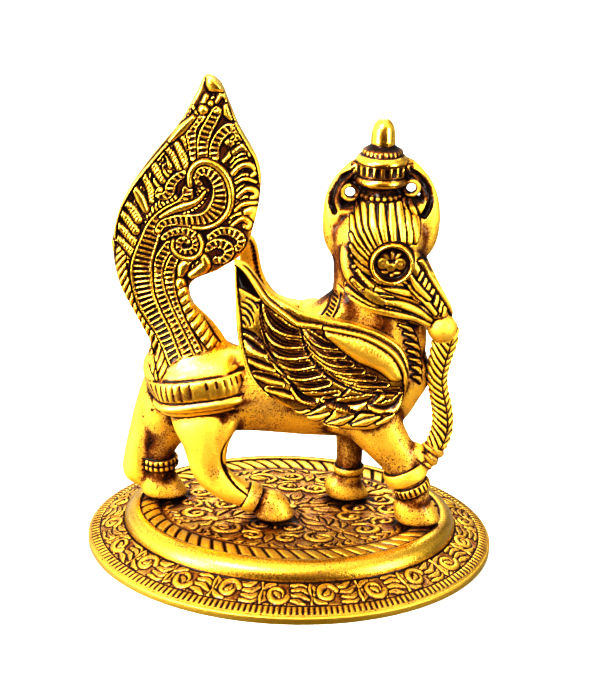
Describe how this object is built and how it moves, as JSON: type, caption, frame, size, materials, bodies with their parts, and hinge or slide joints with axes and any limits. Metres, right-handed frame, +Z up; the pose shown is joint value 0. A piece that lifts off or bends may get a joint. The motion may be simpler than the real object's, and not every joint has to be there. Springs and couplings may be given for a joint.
{
  "type": "winged cow statue",
  "caption": "Gilt cast statue of a winged cow with a crowned, horned head turned aside, a long plait and a tall flame-shaped tail, walking on an oval base plate carved with scroll bands.",
  "frame": {"origin": "middle of the base plate's flat underside", "axes": "+Z up, +X the way the cow walks along the plate's long axis, +Y the side that the head is turned to"},
  "size_m": [0.151, 0.122, 0.1743],
  "materials": {
    "cow_gilt": "antique gold, bright on the high spots, dark brown patina in the carving, sandy cast grain",
    "plate_gilt": "antique gold, polished rounded lip, dark brown patina between the engraved scrolls"
  },
  "bodies": {
    "root": {"cow": "cow_gilt", "base_plate": "plate_gilt"}
  },
  "joints": []
}
